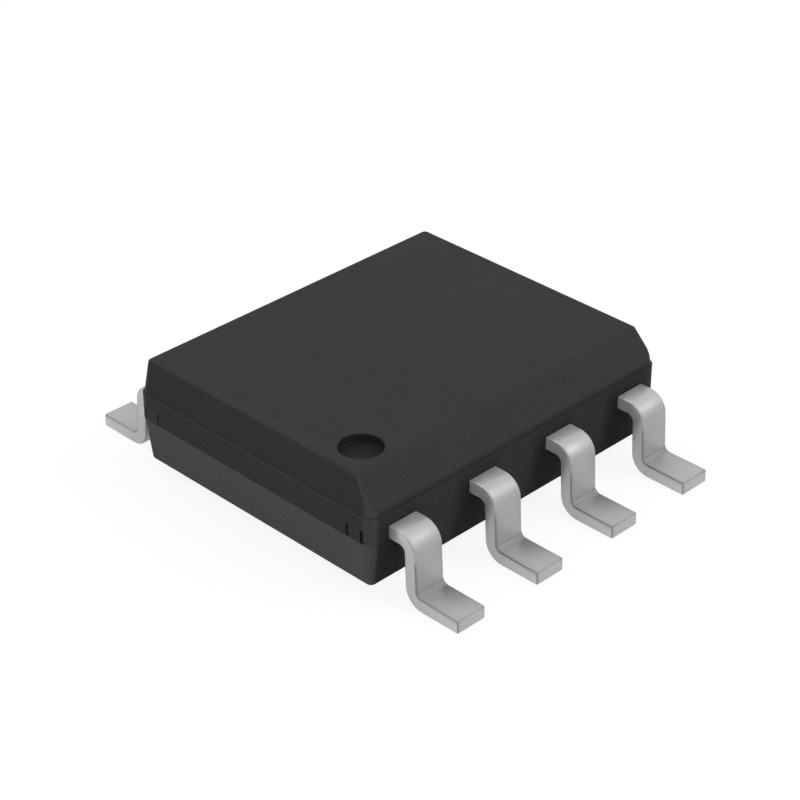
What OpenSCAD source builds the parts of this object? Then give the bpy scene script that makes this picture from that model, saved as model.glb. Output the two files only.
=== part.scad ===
// Eight-lead small-outline integrated circuit for surface mounting.
//
// The origin is the centre of the package on the board plane. +Z is up and +Y runs along the two
// rows of leads. Leads 1 to 4 stand on the -X side, lead 1 at the +Y end; leads 5 to 8 stand on the
// +X side, lead 8 opposite lead 1. A die sits on a downset paddle and is wired to the leads' inner
// fingers, and all of it is sealed in one moulding that parts along the lead frame's underside.

/* [Moulded body] */
// Length of the body along the lead rows, at its vertical band
body_l = 4.8; // [4.6:0.05:6]
// Width of the body across the lead rows, at its vertical band
body_w = 3.9; // [3.6:0.05:4.8]
// Height of the body's top face above the board
body_top = 1.5; // [1.4:0.01:1.9]
// Gap between the body's underside and the board
standoff = 0.15; // [0.1:0.01:0.25]
// Height of the mould's parting line above the board
parting_z = 0.74; // [0.7:0.01:0.8]
// Height of the vertical band above the parting line
band_h = 0.335; // [0.25:0.005:0.45]
// Ledge along the top of the band, where the mould's insert meets its frame
ledge = 0.02; // [0.005:0.005:0.03]
// How far the body below the parting line lies inside the band
parting_step = 0.008; // [0.002:0.001:0.02]
// Radius of the upright corners at the band, which taper with the walls
corner_r = 0.15; // [0.13:0.01:0.2]
// How far the walls above the ledge lean in on their way to the top face
top_lean = 0.07; // [0.04:0.005:0.09]
// How far the walls below the parting line lean in on their way to the underside
base_lean = 0.07; // [0.04:0.005:0.09]
// Width that the chamfer over leads 1 to 4 takes off the top face
chamfer_w = 0.215; // [0.1:0.005:0.3]
// Depth of the chamfer below the top face
chamfer_h = 0.36; // [0.2:0.005:0.42]

/* [Lead 1 mark] */
// Diameter of the dimple at its rim
dimple_d = 0.53; // [0.4:0.01:0.8]
// Depth of the dimple
dimple_depth = 0.1; // [0.05:0.01:0.15]
// Draft of the dimple's wall, from the vertical
dimple_draft = 10; // [0:1:20]
// Distance of the dimple's centre from the top face's end
dimple_from_end = 0.46; // [0.45:0.01:0.7]
// Distance of the dimple's centre from the chamfer
dimple_from_chamfer = 0.4; // [0.4:0.01:0.7]

/* [Leads] */
// Spacing of the leads along a row
lead_pitch = 1.27; // [1.05:0.01:1.3]
// Width of a lead
lead_w = 0.43; // [0.35:0.01:0.52]
// Thickness of the lead frame strip
lead_t = 0.17; // [0.14:0.01:0.21]
// How far the toes stand out from the side of the body
lead_reach = 1.05; // [0.95:0.01:1.4]
// Length of the flat foot
foot_l = 0.55; // [0.4:0.01:0.66]
// Inner radius of the two bends
bend_r = 0.08; // [0.05:0.005:0.1]
// Lean of the riser, from the vertical
riser_lean = 3; // [0:0.5:10]

/* [Inner fingers] */
// Least gap between pieces of the lead frame inside the moulding
frame_gap = 0.18; // [0.14:0.01:0.22]
// Width of the middle leads' inner ends
finger_w = 0.7; // [0.55:0.01:0.85]
// Distance of the end leads' inner tips from the middle plane
tip_x = 0.65; // [0.5:0.01:0.8]
// Diameter of the hole that the moulding locks through
lock_d = 0.2; // [0.12:0.01:0.25]
// Distance of the lock hole's centre from the side of the body
lock_inset = 0.27; // [0.2:0.01:0.3]

/* [Die paddle] */
// Size of the paddle across the lead rows
paddle_w = 2.2; // [1.8:0.05:2.5]
// Size of the paddle along the lead rows
paddle_l = 2.3; // [1.9:0.01:2.76]
// How far the paddle is pressed down below the leads
downset = 0.15; // [0.1:0.01:0.2]
// Width of the stem at each end of the paddle
stem_w = 0.4; // [0.3:0.01:0.5]
// Length along the stem that the downset's slope takes
ramp_l = 0.2; // [0.15:0.01:0.25]
// Width of the tie bars
tie_w = 0.18; // [0.12:0.01:0.22]
// Distance of a tie bar's cut end from the middle plane
tie_x = 1.7; // [1.4:0.01:1.75]
// Length of the straight end of a tie bar, square to the end face
tie_stub = 0.12; // [0.1:0.01:0.2]
// Width that the moulding is chipped on each side of a tie bar's cut end
chip_w = 0.05; // [0.02:0.005:0.08]
// Depth of that chip
chip_depth = 0.05; // [0.02:0.005:0.08]

/* [Die] */
// Size of the die across the lead rows
die_w = 1.5; // [1.2:0.05:1.8]
// Size of the die along the lead rows
die_l = 1.6; // [1.2:0.05:1.9]
// Thickness of the die
die_t = 0.25; // [0.2:0.01:0.3]
// Thickness of the adhesive under the die
attach_t = 0.025; // [0.02:0.005:0.04]
// How far the adhesive's fillet stands out round the die
attach_rim = 0.08; // [0.04:0.01:0.12]
// How far the adhesive's fillet climbs the sides of the die
attach_climb = 0.09; // [0.05:0.01:0.15]

/* [Bond wires] */
// Diameter of the wire
wire_d = 0.025; // [0.02:0.001:0.038]
// Diameter of the ball bond
ball_d = 0.07; // [0.06:0.005:0.09]
// Height of the ball bond
ball_h = 0.02; // [0.015:0.001:0.03]
// Radius of the loop over the ball
loop_r = 0.13; // [0.1:0.005:0.16]
// Diameter of the flattened bond on the lead
stitch_d = 0.075; // [0.05:0.005:0.1]
// Thickness of the flattened bond on the lead
stitch_t = 0.01; // [0.006:0.001:0.015]
// Distance of a bond from the edges of the die or finger that it sits on
bond_inset = 0.11; // [0.08:0.01:0.15]
// Share of the die's half length at which the middle leads' pads lie
mid_pad_share = 0.3; // [0.2:0.05:0.5]

/* [Hidden] */
$fn = 48;
leads_per_row = 4;
lead_count = 2 * leads_per_row;
cut_over = 0.5; // how far a cutting shape runs past what it cuts
lap = 0.0001; // how far a straight run of strip laps into its bends

// Heights
band_top = parting_z + band_h;
frame_top = parting_z + lead_t;
paddle_z = parting_z - downset;
die_z = paddle_z + lead_t + attach_t;
die_top = die_z + die_t;

// How far the top face's and the underside's edges, and the chamfer's, lie inside the band
top_in = ledge + top_lean;
base_in = parting_step + base_lean;
chamfer_z = body_top - chamfer_h;
chamfer_top_x = body_w / 2 - top_in - chamfer_w;
chamfer_low_x = body_w / 2 - ledge - top_lean * (chamfer_z - band_top) / (body_top - band_top);

// Lead form: the riser turns down by bend_a, and its length closes the height
bend_a = 90 - riser_lean;
bend_out = bend_r + lead_t;
knee_z = parting_z - bend_r;
riser_l = (knee_z + (bend_r + bend_out) * cos(bend_a) - bend_out) / sin(bend_a);
heel_run = riser_l * cos(bend_a) + (bend_r + bend_out) * sin(bend_a);
toe_x = body_w / 2 + lead_reach;
heel_x = toe_x - foot_l;
knee_x = heel_x - heel_run;

// Plan of the lead frame inside the moulding, drawn for the +X, +Y quarter
mid_y = lead_pitch / 2;
end_y = 3 * lead_pitch / 2;
lead_edge = end_y + lead_w / 2;
inner_x = paddle_w / 2 + frame_gap;
inner_y = paddle_l / 2 + frame_gap;
fork_y = paddle_l / 2 + frame_gap / 2 + ramp_l + tie_w / 2;
tie_slope = (body_l / 2 - tie_stub - fork_y) / tie_x;
tie_half = tie_w / 2 / cos(atan(tie_slope));
tie_clear = (tie_w / 2 + frame_gap) / cos(atan(tie_slope));
edge_x = min(tie_x, (lead_edge - fork_y + tie_clear) / tie_slope);

// Height of a tie bar's middle line over the fork, and of the end fingers' edge beside it
function tie_y(x) = fork_y + tie_slope * x;
function end_edge(x) = tie_y(x) - tie_clear;

// Centre of the lock hole of a middle and of an end lead's finger
lock_points = [[body_w / 2 - lock_inset, mid_y], [inner_x, (inner_y + end_edge(inner_x)) / 2]];

// Where the wires start on the die and land on the fingers, middle lead first, in the same quarter
pad_x = die_w / 2 - bond_inset;
land_x = tip_x + bond_inset;
pad_points = [[pad_x, mid_pad_share * die_l / 2], [pad_x, die_l / 2 - bond_inset]];
land_points = [[inner_x + bond_inset, mid_y - finger_w / 4], [land_x, (inner_y + end_edge(land_x)) / 2]];

// Row side and sign of each lead: 1 to 4 on -X from +Y down, 5 to 8 on +X from -Y up
function side(i) = i <= leads_per_row ? -1 : 1;
function place(i) = i <= leads_per_row ? 2.5 - i : i - 6.5;
function is_end(i) = abs(place(i)) > 1;

// Turns a shape drawn for the +X, +Y quarter into the place of lead i
module at_quarter(i) {
    mirror([side(i) < 0 ? 1 : 0, 0, 0])
        mirror([0, place(i) < 0 ? 1 : 0, 0])
            children();
}

// One side of the body's outline, from the underside up, for a body that is half wide
function wall_points(half) = [
    [half - base_in, standoff],
    [half - parting_step, parting_z],
    [half, parting_z],
    [half, band_top],
    [half - ledge, band_top],
    [half - top_in, body_top]
];

// Outline of the body that is half wide on each side
module block_profile(half) {
    right = wall_points(half);
    left = [for (k = [len(right) - 1 : -1 : 0]) [-right[k][0], right[k][1]]];
    polygon(concat(right, left));
}

// What the chamfer over leads 1 to 4 takes off, in the same view as the outline across the leads
module chamfer_profile() {
    slope = (chamfer_low_x - chamfer_top_x) / chamfer_h;
    outer_x = chamfer_low_x + cut_over * (1 + slope);
    polygon([
        [-chamfer_low_x - cut_over * slope, chamfer_z - cut_over],
        [-chamfer_top_x + cut_over * slope, body_top + cut_over],
        [-outer_x, body_top + cut_over],
        [-outer_x, chamfer_z - cut_over]
    ]);
}

// What rounds the upright corner of the +X, +Y quarter: all outside a post turned to the walls' outline
module corner_cut() {
    translate([body_w / 2 - corner_r, body_l / 2 - corner_r, 0])
        difference() {
            cube([corner_r + cut_over, corner_r + cut_over, body_top + cut_over]);
            rotate_extrude()
                polygon(concat([[0, 0], [corner_r - base_in, 0]], wall_points(corner_r),
                               [[corner_r - top_in, body_top + 2 * cut_over], [0, body_top + 2 * cut_over]]));
        }
}

module body_block() {
    difference() {
        intersection() {
            rotate([90, 0, 0])
                linear_extrude(body_l + cut_over, center = true)
                    difference() {
                        block_profile(body_w / 2);
                        chamfer_profile();
                    }
            rotate([90, 0, 90])
                linear_extrude(body_w + cut_over, center = true) block_profile(body_l / 2);
        }
        for (x = [0, 1], y = [0, 1]) mirror([x, 0, 0]) mirror([0, y, 0]) corner_cut();
    }
}

// Shallow round pocket beside lead 1
module dimple() {
    rim_r = dimple_d / 2;
    spread = tan(dimple_draft);
    translate([-(chamfer_top_x - dimple_from_chamfer),
               body_l / 2 - top_in - dimple_from_end,
               body_top - dimple_depth])
        cylinder(h = 2 * dimple_depth,
                 r1 = rim_r - dimple_depth * spread,
                 r2 = rim_r + dimple_depth * spread);
}

// Chips beside the cut ends of the tie bars, where they were sheared off at the end faces
module tie_chips() {
    wide = tie_w + 2 * chip_w;
    for (x = [-tie_x, tie_x], end = [0, 1])
        mirror([0, end, 0])
            translate([x - wide / 2, body_l / 2 - chip_depth, parting_z])
                cube([wide, chip_depth + cut_over, lead_t]);
}

module mould_body() {
    color("#3d3d3d")
        difference() {
            body_block();
            dimple();
            tie_chips();
            for (i = [1 : lead_count]) lead_finger(i);
            paddle_form();
            attach_form();
            die_form();
            for (i = [1 : lead_count]) wire_form(i);
        }
}

// Plan of a middle lead's finger, widened at its inner end
module mid_plan() {
    wide_x = body_w / 2 - lock_inset - lock_d / 2;
    taper = (finger_w - lead_w) / 2;
    translate([0, mid_y])
        polygon([
            [inner_x, -finger_w / 2],
            [wide_x, -finger_w / 2],
            [wide_x + taper, -lead_w / 2],
            [body_w / 2, -lead_w / 2],
            [body_w / 2, lead_w / 2],
            [wide_x + taper, lead_w / 2],
            [wide_x, finger_w / 2],
            [inner_x, finger_w / 2]
        ]);
}

// Plan of an end lead's finger, which turns in between the paddle and the tie bar
module end_plan() {
    root = end_y - lead_w / 2;
    polygon([
        [tip_x, inner_y],
        [inner_x, inner_y],
        [inner_x + root - inner_y, root],
        [body_w / 2, root],
        [body_w / 2, lead_edge],
        [edge_x, end_edge(edge_x)],
        [tip_x, end_edge(tip_x)]
    ]);
}

// The part of a lead that the moulding holds
module lead_finger(i) {
    at_quarter(i)
        translate([0, 0, parting_z])
            linear_extrude(lead_t)
                difference() {
                    if (is_end(i)) end_plan();
                    else mid_plan();
                    translate(lock_points[is_end(i) ? 1 : 0]) circle(d = lock_d);
                }
}

// A bend of strip about the Y axis, from angle from_a on through bend_a
module strip_bend(from_a) {
    rotate([90, 0, 0])
        rotate([0, 0, from_a])
            rotate_extrude(angle = bend_a)
                translate([bend_r, -lead_w / 2]) square([lead_t, lead_w]);
}

// A straight run of strip along X from 0, lapped into the bends at both of its ends
module strip_run(length, z) {
    translate([-lap, -lead_w / 2, z]) cube([length + 2 * lap, lead_w, lead_t]);
}

// The part of a lead outside the moulding, drawn from the knee: shoulder, riser, heel and foot
module gull_wing() {
    translate([body_w / 2, -lead_w / 2, parting_z])
        cube([knee_x - body_w / 2 + lap, lead_w, lead_t]);
    translate([knee_x, 0, knee_z]) {
        strip_bend(90 - bend_a);
        rotate([0, bend_a, 0]) strip_run(riser_l, bend_r);
        translate([heel_run, 0, bend_out - knee_z]) {
            strip_bend(270 - bend_a);
            strip_run(foot_l - lap, -bend_out);
        }
    }
}

module lead(i) {
    color("#a6a8aa") {
        union() {
            lead_finger(i);
            at_quarter(i) translate([0, is_end(i) ? end_y : mid_y, 0]) gull_wing();
        }
    }
}

// Stem of one end of the paddle in side view, stepped up from the paddle to the frame
module stem_profile() {
    start = paddle_l / 2;
    foot = start + frame_gap / 2;
    head = foot + ramp_l;
    polygon([
        [start, paddle_z],
        [foot, paddle_z],
        [head, parting_z],
        [fork_y, parting_z],
        [fork_y, frame_top],
        [head, frame_top],
        [foot, paddle_z + lead_t],
        [start, paddle_z + lead_t]
    ]);
}

// Tie bar from the fork of the stem to the end face of the body
module tie_plan() {
    low_x = tie_x + tie_w / 2;
    high_x = tie_x - tie_w / 2;
    polygon([
        [0, tie_y(0) - tie_half],
        [low_x, tie_y(low_x) - tie_half],
        [low_x, body_l / 2],
        [high_x, body_l / 2],
        [high_x, tie_y(high_x) + tie_half],
        [0, tie_y(0) + tie_half]
    ]);
}

module paddle_form() {
    translate([-paddle_w / 2, -paddle_l / 2, paddle_z]) cube([paddle_w, paddle_l, lead_t]);
    for (end = [0, 1])
        mirror([0, end, 0]) {
            rotate([90, 0, 90]) linear_extrude(stem_w, center = true) stem_profile();
            for (way = [0, 1])
                mirror([way, 0, 0])
                    translate([0, 0, parting_z]) linear_extrude(lead_t) tie_plan();
        }
}

module die_paddle() {
    color("#a6a8aa") union() paddle_form();
}

// Fillet of adhesive in section, from its foot on the paddle to its edge on the die's side
module attach_profile(die_size) {
    foot = die_size / 2 + attach_rim;
    edge = die_size / 2 + attach_t;
    low = paddle_z + lead_t;
    polygon([[-foot, low], [foot, low], [edge, die_z + attach_climb], [-edge, die_z + attach_climb]]);
}

module attach_form() {
    difference() {
        intersection() {
            rotate([90, 0, 0])
                linear_extrude(die_l + cut_over, center = true) attach_profile(die_w);
            rotate([90, 0, 90])
                linear_extrude(die_w + cut_over, center = true) attach_profile(die_l);
        }
        die_form();
    }
}

module die_attach() {
    color("#b9bcc0") attach_form();
}

module die_form() {
    translate([-die_w / 2, -die_l / 2, die_z]) cube([die_w, die_l, die_t]);
}

module die() {
    color("#5c6670") die_form();
}

// Wire from start to land, two plan points, drawn in its own upright plane: a ball on the die, a
// loop that turns down by fall past the level, and a straight run to the flattened bond on the lead
module wire_loop(start, land) {
    run = land - start;
    span = norm(run);
    loop_z = die_top + ball_h;
    drop = loop_z - frame_top;
    fall = atan2(drop, span - loop_r) + asin(loop_r / norm([span - loop_r, drop]));
    line_l = sqrt(pow(span - loop_r, 2) + pow(drop, 2) - pow(loop_r, 2));
    past = 2 * wire_d / tan(fall);
    tuck = asin(ball_h / 2 / loop_r);
    translate([start[0], start[1], 0])
        rotate([0, 0, atan2(run[1], run[0])]) {
            translate([0, 0, die_top])
                intersection() {
                    translate([0, 0, ball_h / 2]) sphere(d = ball_d);
                    cylinder(h = ball_h, d = 2 * ball_d);
                }
            difference() {
                translate([loop_r, 0, loop_z])
                    rotate([0, fall, 0]) {
                        rotate([90, 0, 0])
                            rotate([0, 0, 90])
                                rotate_extrude(angle = 90 + fall + tuck)
                                    translate([loop_r, 0]) circle(d = wire_d);
                        translate([0, 0, loop_r])
                            rotate([0, 90, 0]) cylinder(h = line_l + past, d = wire_d);
                    }
                translate([loop_r, -cut_over / 2, frame_top - cut_over])
                    cube([span + cut_over, cut_over, cut_over]);
            }
            translate([span, 0, frame_top]) cylinder(h = stitch_t, d = stitch_d);
        }
}

module wire_form(i) {
    k = is_end(i) ? 1 : 0;
    at_quarter(i) wire_loop(pad_points[k], land_points[k]);
}

module bond_wire(i) {
    color("#d8b24a") union() wire_form(i);
}

mould_body();
for (i = [1 : lead_count])
    lead(i);
die_paddle();
die_attach();
die();
for (i = [1 : lead_count])
    bond_wire(i);
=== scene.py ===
"""Small-outline chip with eight gull-wing leads: its visible surfaces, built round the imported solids."""

import math

import bmesh
import bpy
from bpy.props import FloatProperty, FloatVectorProperty, PointerProperty, StringProperty
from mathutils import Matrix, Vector


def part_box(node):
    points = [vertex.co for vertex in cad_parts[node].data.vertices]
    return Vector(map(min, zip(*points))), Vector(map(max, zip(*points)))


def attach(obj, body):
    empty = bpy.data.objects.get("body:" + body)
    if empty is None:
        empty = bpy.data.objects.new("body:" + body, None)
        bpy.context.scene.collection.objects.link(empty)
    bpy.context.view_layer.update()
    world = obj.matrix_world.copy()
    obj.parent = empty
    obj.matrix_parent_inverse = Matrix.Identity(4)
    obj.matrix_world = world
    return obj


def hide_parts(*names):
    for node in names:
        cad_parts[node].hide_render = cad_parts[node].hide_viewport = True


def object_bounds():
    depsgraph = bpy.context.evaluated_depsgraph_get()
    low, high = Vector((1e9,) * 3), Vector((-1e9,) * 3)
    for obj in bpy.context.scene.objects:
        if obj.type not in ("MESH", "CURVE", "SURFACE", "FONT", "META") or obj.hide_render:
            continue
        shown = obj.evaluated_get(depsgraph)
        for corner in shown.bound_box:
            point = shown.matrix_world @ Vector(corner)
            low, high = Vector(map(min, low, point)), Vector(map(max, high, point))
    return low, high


bl_info = {
    "name": "Small Outline Chip",
    "version": (1, 0, 0),
    "blender": (4, 5, 0),
    "location": "3D View > Sidebar > Chip",
    "description": "Moulded chip with two rows of gull-wing leads, finished and staged",
    "category": "Object",
}

MM = 0.001
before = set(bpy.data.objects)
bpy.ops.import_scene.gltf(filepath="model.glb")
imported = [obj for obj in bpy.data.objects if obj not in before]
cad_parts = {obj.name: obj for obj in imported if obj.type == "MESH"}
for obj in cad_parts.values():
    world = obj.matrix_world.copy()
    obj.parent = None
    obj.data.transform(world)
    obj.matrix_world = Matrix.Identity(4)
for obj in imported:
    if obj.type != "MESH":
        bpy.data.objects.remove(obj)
CAD_LOW, CAD_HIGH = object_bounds()
HOUSING_LOW, HOUSING_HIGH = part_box("mould_body")
LEAD_COUNT = 8
LEAD_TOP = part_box("lead_1")[1].z

SAME_PLACE = 0.0005 * MM  # two points nearer than this are one
MERGE_WITHIN = SAME_PLACE / 10  # the same for the points of a solid's loose triangles
SAME_WAY = 0.999  # two directions whose dot product is over this are one
FLAT_UNDER = math.radians(0.5)  # faces that meet at less than this are one flat
SMOOTH_UNDER = math.radians(32)  # faces that meet at less than this are one curved surface
STRIP_EDGE_OVER = math.radians(60)  # faces that meet at more than this meet in an edge of the strip

CORNER_FACES = 8  # in the rounding of each of the housing's upright corners
EDGE_FACES = 3  # in the rounding of other edges
RIM_FACES = 2  # in the rounding of the lead 1 mark's rim
MARK_SIDES = 96  # of the round lead 1 mark
BEND_STEPS = 14  # in each bend of a lead

NOISE_RANGE = (0.35, 0.65)  # nearly all of a noise texture's values lie between these


# Sizes and colours

class HousingSizes(bpy.types.PropertyGroup):
    """Sizes of the moulded housing, above those that its solid's box gives."""

    parting_height: FloatProperty(
        name="Parting Height", description="Height of the mould's parting line above the board",
        default=0.74 * MM, unit="LENGTH", precision=5)
    band_height: FloatProperty(
        name="Band Height", description="Height of the upright band above the parting line",
        default=0.335 * MM, unit="LENGTH", precision=5)
    ledge: FloatProperty(
        name="Ledge", description="Ledge that the cavity insert leaves along the band's top",
        default=0.02 * MM, unit="LENGTH", precision=5)
    top_lean: FloatProperty(
        name="Top Lean", description="How far the walls above the ledge lean in",
        default=0.07 * MM, unit="LENGTH", precision=5)
    parting_step: FloatProperty(
        name="Parting Step", description="How far the mould's lower half lies inside the upper one",
        default=0.008 * MM, unit="LENGTH", precision=5)
    base_lean: FloatProperty(
        name="Base Lean", description="How far the walls below the parting line lean in",
        default=0.07 * MM, unit="LENGTH", precision=5)
    chamfer_width: FloatProperty(
        name="Chamfer Width", description="Width that the chamfer over leads 1 to 4 takes off the top",
        default=0.215 * MM, unit="LENGTH", precision=5)
    chamfer_height: FloatProperty(
        name="Chamfer Height", description="Depth of that chamfer below the top",
        default=0.36 * MM, unit="LENGTH", precision=5)
    corner_radius: FloatProperty(
        name="Corner Radius", description="Radius of the upright corners at the band",
        default=0.15 * MM, unit="LENGTH", precision=5)
    edge_radius: FloatProperty(
        name="Edge Radius", description="Rounding of the long edges",
        default=0.03 * MM, unit="LENGTH", precision=5)
    dimple_diameter: FloatProperty(
        name="Dimple Diameter", description="Diameter of the lead 1 mark at its rim",
        default=0.53 * MM, unit="LENGTH", precision=5)
    dimple_depth: FloatProperty(
        name="Dimple Depth", description="Depth of the lead 1 mark",
        default=0.1 * MM, unit="LENGTH", precision=5)
    dimple_draft: FloatProperty(
        name="Dimple Draft", description="Lean of the mark's wall",
        default=math.radians(10), subtype="ANGLE")
    dimple_floor_rounding: FloatProperty(
        name="Dimple Floor Rounding", description="Rounding between the mark's floor and its wall",
        default=0.018 * MM, unit="LENGTH", precision=5)
    dimple_rim_rounding: FloatProperty(
        name="Dimple Rim Rounding", description="Rounding of the mark's rim",
        default=0.01 * MM, unit="LENGTH", precision=5)
    dimple_from_end: FloatProperty(
        name="Dimple From End", description="Distance of the mark's centre from the top's end",
        default=0.46 * MM, unit="LENGTH", precision=5)
    dimple_from_chamfer: FloatProperty(
        name="Dimple From Chamfer", description="Distance of the mark's centre from the chamfer",
        default=0.4 * MM, unit="LENGTH", precision=5)
    tie_bar_width: FloatProperty(
        name="Tie Bar Width", description="Width of the tie bars' cut ends",
        default=0.18 * MM, unit="LENGTH", precision=5)
    tie_bar_place: FloatProperty(
        name="Tie Bar Place", description="Distance of a tie bar's cut end from the middle plane",
        default=1.7 * MM, unit="LENGTH", precision=5)
    tie_chip: FloatProperty(
        name="Tie Chip", description="Width of the chip that shearing breaks out beside a cut end",
        default=0.05 * MM, unit="LENGTH", precision=5)
    deep_chip: FloatProperty(
        name="Deep Chip", description="Depth of that chip at the corner by lead 1",
        default=0.0225 * MM, unit="LENGTH", precision=5)
    shallow_chip: FloatProperty(
        name="Shallow Chip", description="Depth of that chip at the other three corners",
        default=0.0075 * MM, unit="LENGTH", precision=5)


class LeadSizes(bpy.types.PropertyGroup):
    """Sizes of the formed leads."""

    pitch: FloatProperty(
        name="Pitch", description="Distance from lead to lead",
        default=1.27 * MM, unit="LENGTH", precision=5)
    thickness: FloatProperty(
        name="Thickness", description="Thickness of the strip",
        default=0.17 * MM, unit="LENGTH", precision=5)
    bend_radius: FloatProperty(
        name="Bend Radius", description="Inner radius of the knee and the heel",
        default=0.08 * MM, unit="LENGTH", precision=5)
    foot_length: FloatProperty(
        name="Foot Length", description="Length of the flat foot",
        default=0.55 * MM, unit="LENGTH", precision=5)
    riser_lean: FloatProperty(
        name="Riser Lean", description="Lean of the riser from upright",
        default=math.radians(3), subtype="ANGLE")
    edge_rounding: FloatProperty(
        name="Edge Rounding", description="Rounding that stamping and plating leave on the edges",
        default=0.02 * MM, unit="LENGTH", precision=5)


class Finishes(bpy.types.PropertyGroup):
    """Colours of the materials, as sRGB hex values."""

    epoxy: StringProperty(
        name="Epoxy", description="Moulding compound of the housing", default="#363636")
    # Painted highlight: the colour for the upright corners and the ledge, where they catch the light
    painted_light_epoxy: StringProperty(
        name="Painted Light Epoxy", description="The housing's upright corners and ledge", default="#484848")
    # Painted light: the colour for the ends below the parting line, as lit by the floor
    floor_lit_epoxy: StringProperty(
        name="Floor Lit Epoxy", description="The housing's ends below the parting line", default="#515151")
    # A polished pin leaves the lead 1 mark; its colour is painted darker as shade in the recess
    shaded_mark_epoxy: StringProperty(
        name="Shaded Mark Epoxy", description="The lead 1 mark, left by a polished pin", default="#212121")
    matt_tin: StringProperty(
        name="Matt Tin", description="Electroplated tin on the leads", default="#A7A7A8")
    bare_copper: StringProperty(
        name="Bare Copper", description="Copper alloy of the die paddle", default="#A8694C")
    tarnished_copper: StringProperty(
        name="Tarnished Copper", description="The tie bars' sheared ends", default="#282626")
    silver_epoxy: StringProperty(
        name="Silver Epoxy", description="Silver-filled adhesive under the die", default="#9B9B98")
    silicon: StringProperty(
        name="Silicon", description="Passivated face of the die", default="#4A5561")
    gold: StringProperty(
        name="Gold", description="Bond wire gold", default="#E2B35A")


class StageSizes(bpy.types.PropertyGroup):
    """Camera, lamps and floor."""

    azimuth: FloatProperty(
        name="Azimuth", description="Where the camera stands round the chip; 0 looks along +Y",
        default=math.radians(225), subtype="ANGLE")
    elevation: FloatProperty(
        name="Elevation", description="The camera's height above the horizon",
        default=math.radians(31.5), subtype="ANGLE")
    distance: FloatProperty(
        name="Distance", description="The camera's distance from the chip's middle",
        default=28.3 * MM, unit="LENGTH", precision=4)
    lens: FloatProperty(
        name="Lens", description="The camera's focal length in millimetres", default=107)
    fill: FloatProperty(
        name="Fill", description="Share of the light that comes evenly from all round", default=0.6)
    key: FloatProperty(
        name="Key", description="Light of the main lamp on a surface that faces it", default=0.32)
    key_direction: FloatVectorProperty(
        name="Key Direction", description="The way to the main lamp", default=(-0.62, -0.5, 0.72),
        subtype="DIRECTION")
    key_width: FloatProperty(
        name="Key Width", description="Angle that the main lamp fills, seen from the chip",
        default=math.radians(36), subtype="ANGLE")
    rim: FloatProperty(
        name="Rim", description="Light of the lamp behind on a surface that faces it", default=0.2)
    rim_direction: FloatVectorProperty(
        name="Rim Direction", description="The way to the lamp behind", default=(0.6, 0.14, 0.74),
        subtype="DIRECTION")
    rim_width: FloatProperty(
        name="Rim Width", description="Angle that the lamp behind fills, seen from the chip",
        default=math.radians(30), subtype="ANGLE")
    floor_tone: StringProperty(
        name="Floor Tone", description="Colour of the floor", default="#DFDFDF")
    floor_size: FloatProperty(
        name="Floor Size", description="Length and width of the floor", default=0.8, unit="LENGTH")
    floor_glow: FloatProperty(
        name="Floor Glow", description="Share of the floor's white that no shadow dims", default=0.83)


# Modelling helpers

def take_up(obj):
    """Makes obj the only selected and the active object."""
    bpy.ops.object.select_all(action="DESELECT")
    obj.select_set(True)
    bpy.context.view_layer.objects.active = obj


def open_mesh(obj):
    """Opens obj in edit mode with nothing of it selected."""
    take_up(obj)
    bpy.ops.object.mode_set(mode="EDIT")
    bpy.ops.mesh.select_all(action="DESELECT")


def close_mesh():
    """Leaves edit mode."""
    bpy.ops.object.mode_set(mode="OBJECT")


def pick(obj, kind, wanted):
    """In edit mode, selects only the faces or edges that wanted accepts; kind is FACE or EDGE."""
    bpy.ops.mesh.select_mode(type=kind)
    bpy.ops.mesh.select_all(action="DESELECT")
    mesh = bmesh.from_edit_mesh(obj.data)
    found = [part for part in (mesh.faces if kind == "FACE" else mesh.edges) if wanted(part)]
    if not found:
        raise RuntimeError(f"{obj.name}: nothing to select")
    for part in found:
        part.select_set(True)
    bmesh.update_edit_mesh(obj.data)


def extrude(x=0.0, z=0.0):
    """Draws what is selected out by that much."""
    bpy.ops.mesh.extrude_region_move(TRANSFORM_OT_translate={"value": (x, 0, z)})


def bevel(width, segments):
    """Rounds the selected edges."""
    bpy.ops.mesh.bevel(offset=width, segments=segments, affect="EDGES", clamp_overlap=True)


def fresh_object(name):
    """Names the object that a primitive just made, and moves its place and size into its mesh."""
    obj = bpy.context.active_object
    obj.name = obj.data.name = name
    bpy.ops.object.transform_apply(location=True, rotation=True, scale=True)
    return obj


def cut_away(obj, cutter):
    """Takes the cutter's shape out of obj."""
    take_up(obj)
    bpy.ops.object.modifier_add(type="BOOLEAN")
    cut = obj.modifiers[-1]
    cut.operation = "DIFFERENCE"
    cut.solver = "EXACT"
    cut.object = cutter
    bpy.ops.object.modifier_apply(modifier=cut.name)
    bpy.data.objects.remove(cutter)


def smooth(obj):
    """Shades rounded edges smooth and keeps the flats flat."""
    take_up(obj)
    bpy.ops.object.shade_smooth_by_angle(angle=SMOOTH_UNDER)
    bpy.ops.object.modifier_add(type="WEIGHTED_NORMAL")
    even = obj.modifiers[-1]
    even.keep_sharp = True
    bpy.ops.object.modifier_apply(modifier=even.name)


def at_height(part, z):
    """Whether all of that face or edge is at height z."""
    return all(abs(v.co.z - z) < SAME_PLACE for v in part.verts)


# Material helpers

def linear(code):
    """An sRGB hex value as a linear colour."""
    parts = [int(code[k:k + 2], 16) / 255 for k in (1, 3, 5)]
    return tuple(c / 12.92 if c <= 0.04045 else ((c + 0.055) / 1.055) ** 2.4 for c in parts) + (1.0,)


def shade(colour, share):
    """The colour, that share lighter or darker."""
    return tuple(c * (1 + share) for c in colour[:3]) + (1.0,)


def per_size(mm):
    """Texture scale for features of that size."""
    return 1 / (mm * MM)


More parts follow.
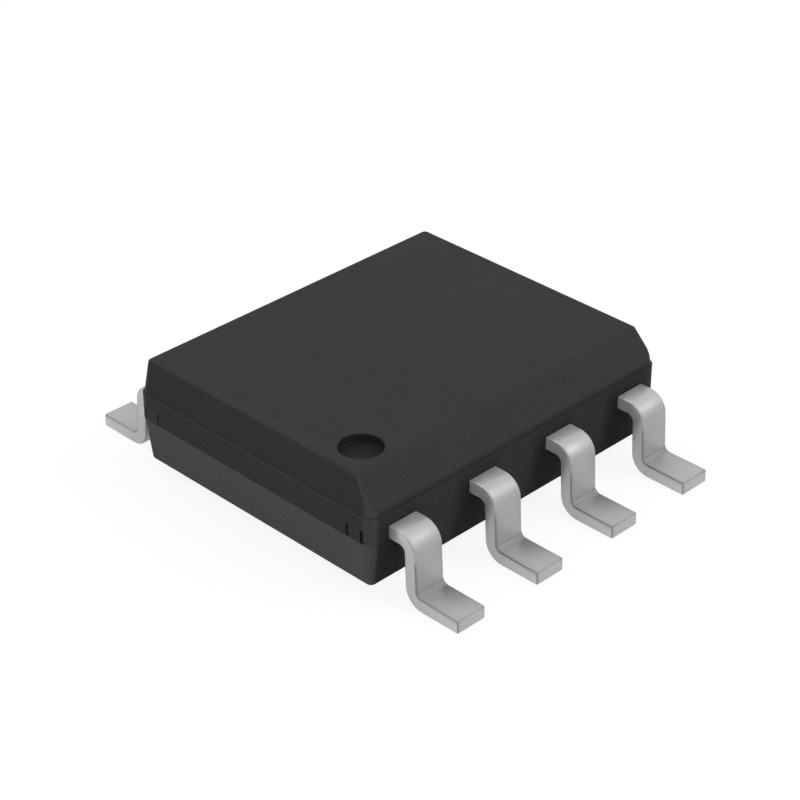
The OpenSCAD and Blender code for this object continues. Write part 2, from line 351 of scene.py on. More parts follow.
def add_node(tree, kind, inputs=(), **settings):
    """Adds a node with its settings, and fills its sockets: those that inputs names, or all in order.

    A socket is filled with a value, or linked to an output or to a node's first one. Sockets that the
    settings hide are passed over. In order, MapRange has its value, the range that the value comes from
    and the range that it is turned into; Mix has the second colour's share, then the two colours."""
    node = tree.nodes.new("ShaderNode" + kind)
    for key, value in settings.items():
        setattr(node, key, value)
    if isinstance(inputs, dict):
        filled = [(node.inputs[name], value) for name, value in inputs.items()]
    else:
        filled = zip([socket for socket in node.inputs if socket.enabled], inputs)
    for socket, value in filled:
        if isinstance(value, bpy.types.Node):
            value = next(output for output in value.outputs if output.enabled)
        if isinstance(value, bpy.types.NodeSocket):
            tree.links.new(value, socket)
        else:
            socket.default_value = value
    return node


def new_material(name):
    """A material with nothing in its node tree, and that tree."""
    material = bpy.data.materials.new(name)
    material.use_nodes = True
    material.node_tree.nodes.clear()
    return material, material.node_tree


def facing(tree):
    """How far the surface faces a row of leads, an end, and upward: |x|, |y| and z of its normal."""
    geometry = add_node(tree, "NewGeometry")
    normal = add_node(tree, "SeparateXYZ", [geometry.outputs["Normal"]]).outputs
    across = add_node(tree, "Math", [normal["X"]], operation="ABSOLUTE")
    along = add_node(tree, "Math", [normal["Y"]], operation="ABSOLUTE")
    return across, along, normal["Z"]


# Materials

def painted_highlight_places(tree, spot, facings, sizes):
    """How much painted highlight the housing gets: its upright corners, its ends' ledge, a little its
    chamfer.
    """
    across, along, upward = facings
    corner_highlight, chamfer_highlight, ledge_highlight = 0.8, 0.12, 0.7
    # The product of two facings is 0 on a plain wall, and 0.5 where the surface is halfway between both
    corner = add_node(tree, "Math", [across, along], operation="MULTIPLY")
    corner = add_node(tree, "MapRange", [corner, 0.03, 0.3, 0, corner_highlight])
    chamfer = add_node(tree, "Math", [across, upward], operation="MULTIPLY")
    chamfer = add_node(tree, "MapRange", [chamfer, 0.2, 0.4, 0, chamfer_highlight])
    # The ledge gets painted highlight in a line along each end
    band_top = sizes.parting_height + sizes.band_height
    line_reach, end_reach = 0.012 * MM, 0.04 * MM
    ledge = add_node(tree, "Math", [spot["Z"], band_top, line_reach], operation="COMPARE")
    from_middle = add_node(tree, "Math", [spot["Y"]], operation="ABSOLUTE")
    at_end = add_node(tree, "Math", [from_middle, HOUSING_HIGH.y - end_reach], operation="GREATER_THAN")
    ledge = add_node(tree, "Math", [ledge, at_end], operation="MULTIPLY")
    ledge = add_node(tree, "Math", [ledge, ledge_highlight], operation="MULTIPLY")
    painted_highlight = add_node(tree, "Math", [corner, ledge], operation="MAXIMUM")
    return add_node(tree, "Math", [painted_highlight, chamfer], operation="MAXIMUM")


def painted_shade_places(tree, spot, across, pitch):
    """How much painted shade the long sides get: most round the leads, where their shadows fall, a little
    between them.
    """
    shade_between_leads, by_lead_1 = 0.28, 0.6
    # Beside a lead the painted shade is full and then fades, and it fades again over the lead
    full_to, none_past, rise = 0.25 * MM, 0.45 * MM, 0.35 * MM
    # The painted shade sits a little toward lead 1's side of each lead, where its shadow falls, and is
    # weaker toward lead 1's end
    shadow_shift = 0.08 * MM
    fade_from, fade_to = -1.5 * MM, 1.5 * MM
    from_lead = add_node(tree, "Math", [spot["Y"], pitch / 2 - shadow_shift])
    from_lead = add_node(tree, "Math", [from_lead, pitch / 2], operation="PINGPONG")
    beside = add_node(tree, "MapRange", [from_lead, full_to, none_past, 1, 0])
    over = add_node(tree, "MapRange", [spot["Z"], LEAD_TOP, LEAD_TOP + rise, 1, 0])
    painted_shade = add_node(tree, "Math", [beside, over], operation="MULTIPLY")
    painted_shade = add_node(tree, "Math", [painted_shade, shade_between_leads], operation="MAXIMUM")
    toward_lead_1 = add_node(tree, "MapRange", [spot["Y"], fade_from, fade_to, 1, by_lead_1])
    painted_shade = add_node(tree, "Math", [painted_shade, toward_lead_1], operation="MULTIPLY")
    long_side = add_node(tree, "MapRange", [across, 0.9, 0.98, 0, 1])
    return add_node(tree, "Math", [painted_shade, long_side], operation="MULTIPLY")


def epoxy_moulding(finishes, sizes, pitch):
    """Black epoxy moulding compound, transfer moulded in a spark-eroded cavity.

    Silica filler under a thin resin skin gives a fine grey speckle and takes most of the skin's gloss, and
    the eroded cavity gives a matt grain of about 0.045 mm. The ends below the parting line are painted
    paler, as painted light from the floor. The upright corners and the ends' ledge get a painted
    highlight, and the chamfer a little. Painted shade darkens the long sides round the leads, and a little
    between."""
    material, tree = new_material("epoxy_moulding")
    place = add_node(tree, "TexCoord").outputs["Object"]
    spot = add_node(tree, "SeparateXYZ", [place]).outputs
    across, along, upward = facing(tree)
    base = linear(finishes.epoxy)
    # Painted highlight on the upright corners, the ends' ledge and a little the chamfer
    painted_highlight = painted_highlight_places(tree, spot, (across, along, upward), sizes)
    tone = add_node(tree, "Mix", [painted_highlight, base, linear(finishes.painted_light_epoxy)], data_type="RGBA")
    # Painted shade round the leads and between them on the long sides
    painted_shade = painted_shade_places(tree, spot, across, pitch)
    tone = add_node(tree, "Mix", [painted_shade, tone, shade(base, -0.55)], data_type="RGBA")
    # Painted light: the ends below the parting line are paler, as lit by the floor
    below = add_node(tree, "Math", [spot["Z"], sizes.parting_height - SAME_PLACE], operation="LESS_THAN")
    end = add_node(tree, "MapRange", [along, 0.1, 0.9, 0, 1])
    lower_end = add_node(tree, "Math", [below, end], operation="MULTIPLY")
    tone = add_node(tree, "Mix", [lower_end, tone, linear(finishes.floor_lit_epoxy)], data_type="RGBA")
    filler = add_node(tree, "TexNoise", {
        "Vector": place, "Scale": per_size(0.02), "Detail": 1, "Roughness": 0.55})
    flow = add_node(tree, "TexNoise", {
        "Vector": place, "Scale": per_size(1.1), "Detail": 2, "Roughness": 0.55})
    speckle = add_node(tree, "MapRange", [filler, *NOISE_RANGE, 0.9, 1.1])
    clouds = add_node(tree, "MapRange", [flow, *NOISE_RANGE, 0.98, 1.02])
    lightness = add_node(tree, "Math", [speckle, clouds], operation="MULTIPLY")
    grain = add_node(tree, "TexNoise", {
        "Vector": place, "Scale": per_size(0.045), "Detail": 3, "Roughness": 0.55})
    shader = add_node(tree, "BsdfPrincipled", {
        "Base Color": add_node(tree, "VectorMath", [tone, lightness], operation="SCALE"),
        "Roughness": add_node(tree, "MapRange", [grain, *NOISE_RANGE, 0.56, 0.68]),
        "Normal": add_node(tree, "Bump", {"Height": grain, "Strength": 0.5, "Distance": 0.004 * MM}),
        "Specular IOR Level": 0.05, "IOR": 1.5})
    add_node(tree, "OutputMaterial", {"Surface": shader})
    return material


def polished_shaded_epoxy(colour):
    """The same compound, moulded against a pin's polished end: smoother and faintly cloudy, and painted
    darker as shade in the recess.
    """
    material, tree = new_material("polished_shaded_epoxy")
    place = add_node(tree, "TexCoord").outputs["Object"]
    cloud = add_node(tree, "TexNoise", {
        "Vector": place, "Scale": per_size(0.12), "Detail": 2, "Roughness": 0.55})
    base = linear(colour)
    tone = add_node(tree, "Mix", [cloud, shade(base, -0.08), shade(base, 0.08)], data_type="RGBA")
    shader = add_node(tree, "BsdfPrincipled", {
        "Base Color": tone,
        "Roughness": add_node(tree, "MapRange", [cloud, *NOISE_RANGE, 0.4, 0.5]),
        "Specular IOR Level": 0.05, "IOR": 1.5})
    add_node(tree, "OutputMaterial", {"Surface": shader})
    return material


def matt_tin(colour):
    """Matt tin, electroplated on copper strip before the leads are formed.

    Crystals of about 0.01 mm, drawn here at 0.03 mm so that they show, scatter so much of the light that
    the plate looks only half metallic. Forming stretches it on the outside of the knee, which dulls it a
    little, and wrinkles it in the hollow of the heel, which dulls it more; that hollow is also painted
    darker, as painted shade in the crease. The shoulder near the housing is painted paler, as painted
    light against the dark housing that it reflects. The sides are painted paler as painted light, the foot
    grows lighter toward the toe, and the rounded edges below the knee are darker with painted shade."""
    material, tree = new_material("matt_tin_plate")
    place = add_node(tree, "TexCoord").outputs["Object"]
    spot = add_node(tree, "SeparateXYZ", [place]).outputs
    outward = add_node(tree, "Math", [spot["X"]], operation="ABSOLUTE")
    across, along, upward = facing(tree)
    base = linear(colour)

    crystals = add_node(tree, "TexNoise", {
        "Vector": place, "Scale": per_size(0.03), "Detail": 4, "Roughness": 0.65})
    mottle = add_node(tree, "TexNoise", {
        "Vector": place, "Scale": per_size(0.22), "Detail": 2, "Roughness": 0.55})
    glitter = add_node(tree, "MapRange", [crystals, *NOISE_RANGE, 0, 1])
    tone = add_node(tree, "Mix", [glitter, shade(base, -0.06), shade(base, 0.06)], data_type="RGBA")
    clouds = add_node(tree, "MapRange", [mottle, *NOISE_RANGE, 0, 0.5])
    tone = add_node(tree, "Mix", [clouds, tone, shade(base, 0.04)], data_type="RGBA")

    # Both bends face outward and upward at once, and height tells them apart
    bend = add_node(tree, "Math", [across, upward], operation="MULTIPLY")
    bend = add_node(tree, "MapRange", [bend, 0.1, 0.4, 0, 1])
    high = add_node(tree, "MapRange", [spot["Z"], 0.4 * MM, 0.5 * MM, 0, 1])
    knee = add_node(tree, "Math", [bend, high], operation="MULTIPLY")
    heel = add_node(tree, "Math", [bend, knee], operation="SUBTRACT")
    # Painted shade: the heel's hollow is darker, as shade in the crease
    tone = add_node(tree, "Mix", [heel, tone, shade(base, -0.3)], data_type="RGBA")

    # Painted light on the shoulder near the housing, against the dark housing that it reflects
    shoulder_light_to, none_past = HOUSING_HIGH.x + 0.1 * MM, HOUSING_HIGH.x + 0.35 * MM
    shoulder_light = add_node(tree, "MapRange", [outward, shoulder_light_to, none_past, 1, 0])
    shoulder_light = add_node(tree, "Math", [high, shoulder_light], operation="MULTIPLY")
    tone = add_node(tree, "Mix", [shoulder_light, tone, shade(base, 0.48)], data_type="RGBA")

    # The strip's rounded edges face sideways and outward or upward at once
    shaded_edge = add_node(tree, "Math", [across, upward])
    shaded_edge = add_node(tree, "Math", [along, shaded_edge], operation="MULTIPLY")
    shaded_edge = add_node(tree, "MapRange", [shaded_edge, 0.1, 0.4, 0, 1])
    low = add_node(tree, "MapRange", [spot["Z"], 0.55 * MM, 0.65 * MM, 1, 0])
    shaded_edge = add_node(tree, "Math", [shaded_edge, low], operation="MULTIPLY")
    # Painted shade along the rounded edges below the knee
    tone = add_node(tree, "Mix", [shaded_edge, tone, shade(base, -0.42)], data_type="RGBA")

    # Painted light: the sides are paler
    lit_side = add_node(tree, "MapRange", [along, 0.85, 0.98, 1, 1.3])
    toward_toe = add_node(tree, "MapRange", [outward, CAD_HIGH.x - 0.55 * MM, CAD_HIGH.x, 1, 1.18])
    lightness = add_node(tree, "Math", [lit_side, toward_toe], operation="MULTIPLY")

    heel_dulling, knee_dulling = 0.25, 0.12
    roughness = add_node(tree, "MapRange", [mottle, *NOISE_RANGE, 0.34, 0.44])
    roughness = add_node(tree, "Math", [heel, heel_dulling, roughness], operation="MULTIPLY_ADD")
    roughness = add_node(tree, "Math", [knee, knee_dulling, roughness], operation="MULTIPLY_ADD")
    shader = add_node(tree, "BsdfPrincipled", {
        "Base Color": add_node(tree, "VectorMath", [tone, lightness], operation="SCALE"),
        "Roughness": roughness,
        "Normal": add_node(tree, "Bump", {"Height": crystals, "Strength": 0.35, "Distance": 0.002 * MM}),
        "Metallic": 0.55})
    add_node(tree, "OutputMaterial", {"Surface": shader})
    return material


def rolled_copper(finishes):
    """Rolled copper alloy strip, left bare.

    It is dull and faintly streaked along the rolling, with blotches of tarnish, and it has tarnished dark
    where the tie bars were sheared off at the housing's ends."""
    material, tree = new_material("bare_copper_strip")
    place = add_node(tree, "TexCoord").outputs["Object"]
    drawn_out = add_node(tree, "Mapping", {"Vector": place, "Scale": (1, 0.08, 1)})
    streaks = add_node(tree, "TexNoise", {
        "Vector": drawn_out, "Scale": per_size(0.03), "Detail": 3, "Roughness": 0.55})
    blotches = add_node(tree, "TexNoise", {
        "Vector": place, "Scale": per_size(0.3), "Detail": 2, "Roughness": 0.55})
    base = linear(finishes.bare_copper)
    tarnish = add_node(tree, "MapRange", [blotches, *NOISE_RANGE, 0, 1])
    tone = add_node(tree, "Mix", [tarnish, base, shade(base, -0.35)], data_type="RGBA")
    spot = add_node(tree, "SeparateXYZ", [place]).outputs
    from_middle = add_node(tree, "Math", [spot["Y"]], operation="ABSOLUTE")
    bar_end = HOUSING_HIGH.y - 0.06 * MM
    sheared = add_node(tree, "MapRange", [from_middle, bar_end - 0.02 * MM, bar_end, 0, 1])
    tone = add_node(tree, "Mix", [sheared, tone, linear(finishes.tarnished_copper)], data_type="RGBA")
    shader = add_node(tree, "BsdfPrincipled", {
        "Base Color": tone,
        "Roughness": add_node(tree, "MapRange", [streaks, *NOISE_RANGE, 0.32, 0.5]),
        "Normal": add_node(tree, "Bump", {"Height": streaks, "Strength": 0.3, "Distance": 0.001 * MM}),
        "Metallic": 1})
    add_node(tree, "OutputMaterial", {"Surface": shader})
    return material


def silver_filled_epoxy(colour):
    """Die-attach epoxy full of silver flakes: a dull grey paste with fine bright flakes in it."""
    material, tree = new_material("silver_filled_epoxy")
    place = add_node(tree, "TexCoord").outputs["Object"]
    flakes = add_node(tree, "TexVoronoi", {"Vector": place, "Scale": per_size(0.02)})
    base = linear(colour)
    glint = add_node(tree, "MapRange", [flakes, 0, 0.6, 1, 0])
    tone = add_node(tree, "Mix", [glint, shade(base, -0.25), shade(base, 0.2)], data_type="RGBA")
    shader = add_node(tree, "BsdfPrincipled", {
        "Base Color": tone,
        "Normal": add_node(tree, "Bump", {"Height": flakes, "Strength": 0.4, "Distance": 0.003 * MM}),
        "Roughness": 0.5, "Metallic": 0.6})
    add_node(tree, "OutputMaterial", {"Surface": shader})
    return material


def passivated_silicon(colour):
    """Silicon with its circuit under glass passivation: smooth and glossy, with a fine block pattern."""
    material, tree = new_material("passivated_silicon")
    place = add_node(tree, "TexCoord").outputs["Object"]
    base = linear(colour)
    blocks = add_node(tree, "TexBrick", {
        "Vector": place, "Scale": per_size(0.12), "Mortar Size": 0.06,
        "Color1": shade(base, 0.15), "Color2": shade(base, -0.2), "Mortar": shade(base, -0.5)})
    shader = add_node(tree, "BsdfPrincipled", {"Base Color": blocks, "Roughness": 0.18, "Metallic": 0.55})
    add_node(tree, "OutputMaterial", {"Surface": shader})
    return material


def drawn_gold(colour):
    """Fine gold wire, drawn through dies: bright, with hair-fine lines."""
    material, tree = new_material("drawn_gold_wire")
    place = add_node(tree, "TexCoord").outputs["Object"]
    lines = add_node(tree, "TexNoise", {
        "Vector": place, "Scale": per_size(0.012), "Detail": 2, "Roughness": 0.55})
    base = linear(colour)
    tone = add_node(tree, "Mix", [lines, base, shade(base, -0.12)], data_type="RGBA")
    shader = add_node(tree, "BsdfPrincipled", {
        "Base Color": tone,
        "Roughness": add_node(tree, "MapRange", [lines, *NOISE_RANGE, 0.2, 0.32]),
        "Metallic": 1})
    add_node(tree, "OutputMaterial", {"Surface": shader})
    return material


# Pieces

def tie_bar_pockets(sizes):
    """Cutter for the four places where a tie bar's cut end shows in an end face, chipped on both sides.

    Shearing broke a deeper chip out at the corner by lead 1 than at the other three."""
    height = LEAD_TOP - sizes.parting_height
    cutters = []
    for side in (-1, 1):
        for end in (HOUSING_LOW.y, HOUSING_HIGH.y):
            by_lead_1 = side < 0 < end
            depth = sizes.deep_chip if by_lead_1 else sizes.shallow_chip
            bpy.ops.object.select_all(action="DESELECT")
            bpy.ops.mesh.primitive_cube_add(
                size=1,
                location=(side * sizes.tie_bar_place, end, sizes.parting_height + height / 2),
                scale=(sizes.tie_bar_width + 2 * sizes.tie_chip, 2 * depth, height))
            cutters.append(fresh_object("tie_bar_pocket"))
    for cutter in cutters:
        cutter.select_set(True)
    bpy.ops.object.join()
    return bpy.context.active_object


def dimple_centre(sizes):
    """The middle of the lead 1 mark, on the top face."""
    top_in = sizes.ledge + sizes.top_lean
    return Vector((
        top_in + sizes.chamfer_width + sizes.dimple_from_chamfer - HOUSING_HIGH.x,
        HOUSING_HIGH.y - top_in - sizes.dimple_from_end,
        HOUSING_HIGH.z))


def dimple_cutter(sizes, centre):
    """Cutter for the round mark by lead 1, with its floor's edge rounded."""
    lean = sizes.dimple_depth * math.tan(sizes.dimple_draft)
    radius = sizes.dimple_diameter / 2
    bpy.ops.object.select_all(action="DESELECT")
    bpy.ops.mesh.primitive_cone_add(
        vertices=MARK_SIDES, radius1=radius - lean, radius2=radius + lean,
        depth=2 * sizes.dimple_depth, location=centre)
    cutter = fresh_object("dimple_cutter")
    open_mesh(cutter)
    floor = HOUSING_HIGH.z - sizes.dimple_depth
    pick(cutter, "EDGE", lambda e: at_height(e, floor))
    bevel(sizes.dimple_floor_rounding, EDGE_FACES)
    close_mesh()
    return cutter


def round_dimple_rim(housing, sizes, centre):
    """Rounds the edge between the top face and the lead 1 mark."""
    radius = sizes.dimple_diameter / 2
    off_rim = 0.002 * MM  # the most that a point of the rim is off its circle
    open_mesh(housing)
    pick(housing, "EDGE", lambda e: at_height(e, HOUSING_HIGH.z) and all(
        abs((v.co - centre).length - radius) < off_rim for v in e.verts))
    bevel(sizes.dimple_rim_rounding, RIM_FACES)
    close_mesh()


def build_housing(sizes):
    """The moulded housing: drafted halves, band, ledge, chamfer, lead 1 mark and tie bar openings."""
    half_w, half_l, top, base = HOUSING_HIGH.x, HOUSING_HIGH.y, HOUSING_HIGH.z, HOUSING_LOW.z
    band_top = sizes.parting_height + sizes.band_height
    top_in = sizes.ledge + sizes.top_lean
    bpy.ops.object.select_all(action="DESELECT")
    bpy.ops.mesh.primitive_cube_add(
        size=1, location=(0, 0, (sizes.parting_height + band_top) / 2),
        scale=(2 * half_w, 2 * half_l, sizes.band_height))
    housing = fresh_object("moulded_housing")
    open_mesh(housing)
    pick(housing, "EDGE", lambda e: abs(e.verts[0].co.z - e.verts[1].co.z) > SAME_PLACE)
    bevel(sizes.corner_radius, CORNER_FACES)

    # The upper half: a ledge along the band, then walls that lean in, with corners that taper with them
    pick(housing, "FACE", lambda f: at_height(f, band_top))
    bpy.ops.mesh.inset(thickness=sizes.ledge)
    bpy.ops.mesh.inset(thickness=sizes.top_lean, depth=top - band_top)

    # The lower half: a step in at the parting line, then its own walls
    pick(housing, "FACE", lambda f: at_height(f, sizes.parting_height))
    bpy.ops.mesh.inset(thickness=sizes.parting_step)
    bpy.ops.mesh.inset(thickness=sizes.base_lean, depth=sizes.parting_height - base)

    # The chamfer over leads 1 to 4
    chamfer_z = top - sizes.chamfer_height
    top_x = half_w - top_in - sizes.chamfer_width
    low_x = half_w - sizes.ledge - sizes.top_lean * (chamfer_z - band_top) / (top - band_top)
    outward = Vector((-sizes.chamfer_height, 0, low_x - top_x)).normalized()
    bpy.ops.mesh.select_all(action="SELECT")
    bpy.ops.mesh.bisect(plane_co=(-top_x, 0, top), plane_no=outward, use_fill=True, clear_outer=True,
                        threshold=SAME_PLACE)

    def is_long_edge(edge):
        if len(edge.link_faces) != 2 or at_height(edge, band_top) or at_height(edge, sizes.parting_height):
            return False
        on_chamfer = any(f.normal.dot(outward) > SAME_WAY for f in edge.link_faces)
        return at_height(edge, top) or at_height(edge, base) or on_chamfer

    pick(housing, "EDGE", is_long_edge)
    bevel(sizes.edge_radius, EDGE_FACES)
    close_mesh()

    centre = dimple_centre(sizes)
    cut_away(housing, dimple_cutter(sizes, centre))
    cut_away(housing, tie_bar_pockets(sizes))
    round_dimple_rim(housing, sizes, centre)
    return housing


def open_finger(number, side):
    """The lead's own solid as far as the housing's face, in edit mode with its cut end selected."""
    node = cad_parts[f"lead_{number}"]
    cut_x = side * HOUSING_HIGH.x
    lead = node.copy()
    lead.data = node.data.copy()
    for key in [key for key in lead.keys() if key.startswith("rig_")]:
        del lead[key]
    lead.parent = None
    lead.name = lead.data.name = f"formed_lead_{number}"
    bpy.context.scene.collection.objects.link(lead)
    open_mesh(lead)
    bpy.ops.mesh.select_all(action="SELECT")
    bpy.ops.mesh.remove_doubles(threshold=MERGE_WITHIN)
    bpy.ops.mesh.bisect(plane_co=(cut_x, 0, 0), plane_no=(side, 0, 0), use_fill=True,
                        clear_outer=True, threshold=MERGE_WITHIN)
    bpy.ops.mesh.select_all(action="SELECT")
    bpy.ops.mesh.dissolve_limited(angle_limit=FLAT_UNDER)
    pick(lead, "FACE", lambda f: all(abs(v.co.x - cut_x) < SAME_PLACE for v in f.verts))
    return lead


def build_lead(number, sizes):
    """A lead: the finger inside the moulding is the solid's own, and the wing is formed on from it."""
    low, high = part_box(f"lead_{number}")
    side = 1 if high.x > 0 else -1
    cut_x = HOUSING_HIGH.x
    toe_x = max(high.x, -low.x)
    turn = math.pi / 2 - sizes.riser_lean
    outer = sizes.bend_radius + sizes.thickness
    knee_z = high.z - outer
    # The riser's length, from the drop between the two bends
    riser = (knee_z + (sizes.bend_radius + outer) * math.cos(turn) - outer) / math.sin(turn)
    heel_x = toe_x - sizes.foot_length
    knee_x = heel_x - riser * math.cos(turn) - (sizes.bend_radius + outer) * math.sin(turn)

    lead = open_finger(number, side)
    extrude(x=side * (knee_x - cut_x))
    bpy.ops.mesh.spin(
        steps=BEND_STEPS, angle=turn, center=(side * knee_x, 0, knee_z), axis=(0, -side, 0))
    extrude(x=side * riser * math.cos(turn), z=-riser * math.sin(turn))
    bpy.ops.mesh.spin(
        steps=BEND_STEPS, angle=turn, center=(side * heel_x, 0, outer), axis=(0, side, 0))
    extrude(x=side * sizes.foot_length)

    def is_strip_edge(edge):
        if len(edge.link_faces) != 2 or min(abs(v.co.x) for v in edge.verts) < cut_x - SAME_PLACE:
            return False
        if all(abs(abs(v.co.x) - cut_x) < SAME_PLACE for v in edge.verts):
            return False
        return edge.calc_face_angle(0) > STRIP_EDGE_OVER

    pick(lead, "EDGE", is_strip_edge)
    bevel(sizes.edge_rounding, EDGE_FACES)
    close_mesh()
    return lead


def copy_lead(lead, number, turned):
    """The lead again as a mesh of its own, turned into the far row or mirrored within its row."""
    take_up(lead)
    bpy.ops.object.duplicate()
    copy = bpy.context.active_object
    copy.name = copy.data.name = f"formed_lead_{number}"
    if turned:
        bpy.ops.transform.rotate(value=math.pi, orient_axis="Z", center_override=(0, 0, 0))
    else:
        bpy.ops.transform.resize(value=(1, -1, 1), center_override=(0, 0, 0))
    bpy.ops.object.transform_apply(location=True, rotation=True, scale=True)
    open_mesh(copy)
    bpy.ops.mesh.select_all(action="SELECT")
    bpy.ops.mesh.normals_make_consistent(inside=False)
    close_mesh()
    return copy


def finish_piece(obj, materials, node):
    """Gives a modelled piece its materials, and hands it to the frame in place of that node."""
    smooth(obj)
    obj.data.materials.clear()
    for material in materials:
        obj.data.materials.append(material)
    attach(obj, "root")
    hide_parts(node)


def finish_node(name, material):
    """Gives a solid that stays as it is its finished material."""
    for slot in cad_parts[name].material_slots:
        slot.material = material


class CHIP_OT_housing(bpy.types.Operator):
    """Model the moulded epoxy housing"""

    bl_idname = "chip.housing"
    bl_label = "Mould Housing"

    def execute(self, context):
        sizes, finishes = context.scene.chip_housing, context.scene.chip_finishes
        housing = build_housing(sizes)
        compound = epoxy_moulding(finishes, sizes, context.scene.chip_leads.pitch)
        # The mark is smoother, as a polished pin leaves it, and painted darker as shade in its recess
        polished = polished_shaded_epoxy(finishes.shaded_mark_epoxy)
        finish_piece(housing, [compound, polished], "mould_body")
        centre = dimple_centre(sizes)
        floor = HOUSING_HIGH.z - sizes.dimple_depth
        for face in housing.data.polygons:
            middle = Vector(face.center)
            in_circle = (middle.xy - centre.xy).length < sizes.dimple_diameter / 2
            below_top = floor - SAME_PLACE < middle.z < HOUSING_HIGH.z - SAME_PLACE
            face.material_index = 1 if in_circle and below_top else 0
        return {"FINISHED"}


class CHIP_OT_leads(bpy.types.Operator):
    """Form the eight gull-wing leads"""

    bl_idname = "chip.leads"
    bl_label = "Form Leads"

    def execute(self, context):
        tin = matt_tin(context.scene.chip_finishes.matt_tin)
        sizes = context.scene.chip_leads
        leads = {1: build_lead(1, sizes), 2: build_lead(2, sizes)}
        leads[3] = copy_lead(leads[2], 3, turned=False)
        leads[4] = copy_lead(leads[1], 4, turned=False)
        row = LEAD_COUNT // 2
        for number in range(1, row + 1):
            leads[number + row] = copy_lead(leads[number], number + row, turned=True)
        for number, lead in leads.items():
            finish_piece(lead, [tin], f"lead_{number}")
        return {"FINISHED"}


class CHIP_OT_die_and_paddle(bpy.types.Operator):
    """Finish the die, its adhesive and the paddle under it"""

    bl_idname = "chip.die_and_paddle"
    bl_label = "Finish Die and Paddle"

    def execute(self, context):
        finishes = context.scene.chip_finishes
        finish_node("die_paddle", rolled_copper(finishes))
        finish_node("die_attach", silver_filled_epoxy(finishes.silver_epoxy))
        finish_node("die", passivated_silicon(finishes.silicon))
        return {"FINISHED"}


class CHIP_OT_bond_wires(bpy.types.Operator):
    """Finish the eight gold bond wires"""

    bl_idname = "chip.bond_wires"
    bl_label = "Finish Bond Wires"

    def execute(self, context):
        gold = drawn_gold(context.scene.chip_finishes.gold)
        for number in range(1, LEAD_COUNT + 1):
            finish_node(f"bond_wire_{number}", gold)
        return {"FINISHED"}


# Stage

def seen_directly(tree):
    """1 for rays that show the background: those from the camera, off gloss and through clear stuff."""
    path = add_node(tree, "LightPath").outputs
    seen = add_node(tree, "Math", [path["Is Camera Ray"], path["Is Glossy Ray"]], operation="MAXIMUM")
    return add_node(tree, "Math", [seen, path["Is Transmission Ray"]], operation="MAXIMUM")


def build_floor(stage):
    """A pale matt floor that shows white, keeps the chip's shadow and is clear from below."""
    bpy.ops.object.select_all(action="DESELECT")
    bpy.ops.mesh.primitive_plane_add(size=stage.floor_size, location=(0, 0, 0))
    floor = fresh_object("floor")
    material, tree = new_material("pale_floor")
    tone = linear(stage.floor_tone)
    shown_white = 1.02  # a little over 1, so that the open floor is plain white
    strength = (shown_white - (1 - stage.floor_glow) * tone[0]) / stage.floor_glow
    matt = add_node(tree, "BsdfDiffuse", {"Color": tone})
    glow = add_node(tree, "Emission", {"Color": (1, 1, 1, 1), "Strength": strength})
    share = add_node(tree, "Math", [seen_directly(tree), stage.floor_glow], operation="MULTIPLY")
    lit = add_node(tree, "MixShader", [share, matt, glow])
    clear = add_node(tree, "BsdfTransparent")
    underside = add_node(tree, "NewGeometry").outputs["Backfacing"]
    both = add_node(tree, "MixShader", [underside, lit, clear])
    add_node(tree, "OutputMaterial", {"Surface": both})
    floor.data.materials.append(material)


def build_world(stage):
    """Even soft light, over a background that shows white."""
    world = bpy.data.worlds.new("studio")
    bpy.context.scene.world = world
    world.use_nodes = True
    tree = world.node_tree
    tree.nodes.clear()
    strength = add_node(tree, "MapRange", [seen_directly(tree), 0, 1, stage.fill, 1])
    glow = add_node(tree, "Background", {"Color": (1, 1, 1, 1), "Strength": strength})
    add_node(tree, "OutputWorld", {"Surface": glow})


def build_lamp(name, direction, strength, width):
    """A large soft lamp far away in that direction, as wide as that angle."""
    bpy.ops.object.light_add(type="SUN")
    lamp = bpy.context.active_object
    lamp.name = name
    lamp.rotation_mode = "QUATERNION"
    lamp.rotation_quaternion = Vector(direction).to_track_quat("Z", "Y")
    lamp.data.energy = strength * math.pi
    lamp.data.angle = width


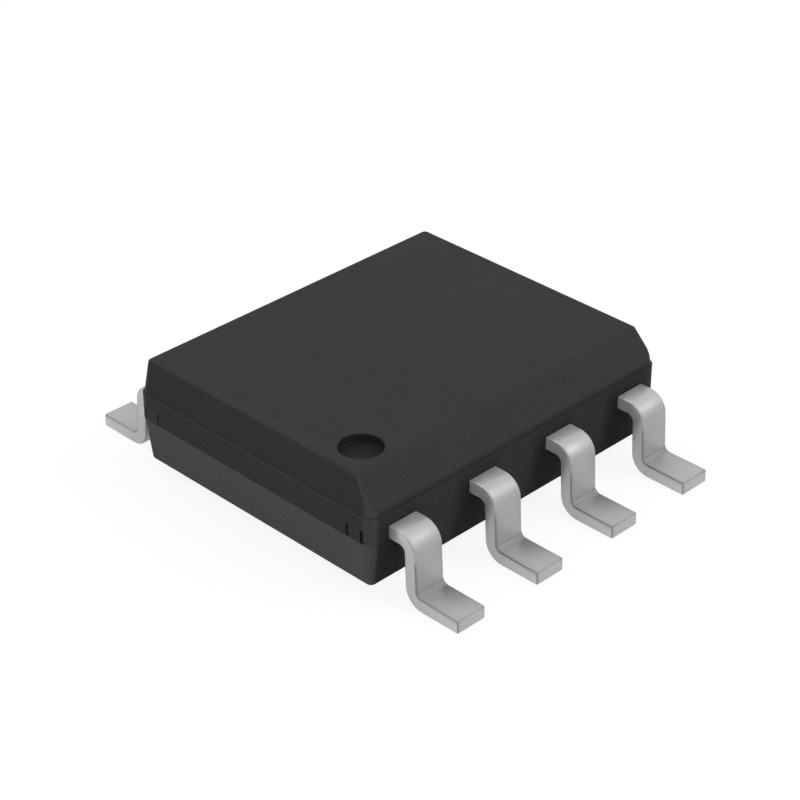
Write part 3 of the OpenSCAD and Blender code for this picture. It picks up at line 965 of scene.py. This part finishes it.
def build_camera(stage):
    """The camera, at the photograph's angle and distance."""
    middle = (CAD_LOW + CAD_HIGH) / 2
    back = Vector((math.sin(stage.azimuth) * math.cos(stage.elevation),
                   -math.cos(stage.azimuth) * math.cos(stage.elevation),
                   math.sin(stage.elevation)))
    bpy.ops.object.camera_add()
    camera = bpy.context.active_object
    camera.name = "camera"
    camera.location = middle + back * stage.distance
    camera.rotation_mode = "QUATERNION"
    camera.rotation_quaternion = back.to_track_quat("Z", "Y")
    camera.data.sensor_width = 36
    camera.data.lens = stage.lens
    camera.data.clip_start = 1 * MM
    camera.data.clip_end = 2
    bpy.context.scene.camera = camera


class CHIP_OT_stage(bpy.types.Operator):
    """Set up the floor, the light and the camera"""

    bl_idname = "chip.stage"
    bl_label = "Set Stage"

    def execute(self, context):
        stage = context.scene.chip_stage
        build_floor(stage)
        build_world(stage)
        build_lamp("key_lamp", stage.key_direction, stage.key, stage.key_width)
        build_lamp("rim_lamp", stage.rim_direction, stage.rim, stage.rim_width)
        build_camera(stage)
        context.scene.view_settings.view_transform = "Standard"
        return {"FINISHED"}


class CHIP_PT_panel(bpy.types.Panel):
    """Lists the chip's steps in the order in which they are run"""

    bl_idname = "CHIP_PT_panel"
    bl_label = "Small Outline Chip"
    bl_space_type = "VIEW_3D"
    bl_region_type = "UI"
    bl_category = "Chip"

    def draw(self, context):
        column = self.layout.column()
        for step in STEPS:
            column.operator(step.bl_idname)
        for group in GROUPS:
            settings = getattr(context.scene, group)
            for key in settings.__annotations__:
                column.prop(settings, key)


STEPS = (CHIP_OT_housing, CHIP_OT_leads, CHIP_OT_die_and_paddle, CHIP_OT_bond_wires, CHIP_OT_stage)
GROUPS = {
    "chip_housing": HousingSizes,
    "chip_leads": LeadSizes,
    "chip_finishes": Finishes,
    "chip_stage": StageSizes,
}


def register():
    for name, group in GROUPS.items():
        bpy.utils.register_class(group)
        setattr(bpy.types.Scene, name, PointerProperty(type=group))
    for made in (*STEPS, CHIP_PT_panel):
        bpy.utils.register_class(made)


def unregister():
    for made in (CHIP_PT_panel, *reversed(STEPS)):
        bpy.utils.unregister_class(made)
    for name, group in reversed(GROUPS.items()):
        delattr(bpy.types.Scene, name)
        bpy.utils.unregister_class(group)


def main():
    register()
    bpy.ops.chip.housing()
    bpy.ops.chip.leads()
    bpy.ops.chip.die_and_paddle()
    bpy.ops.chip.bond_wires()
    bpy.ops.chip.stage()


if __name__ == "__main__":
    main()
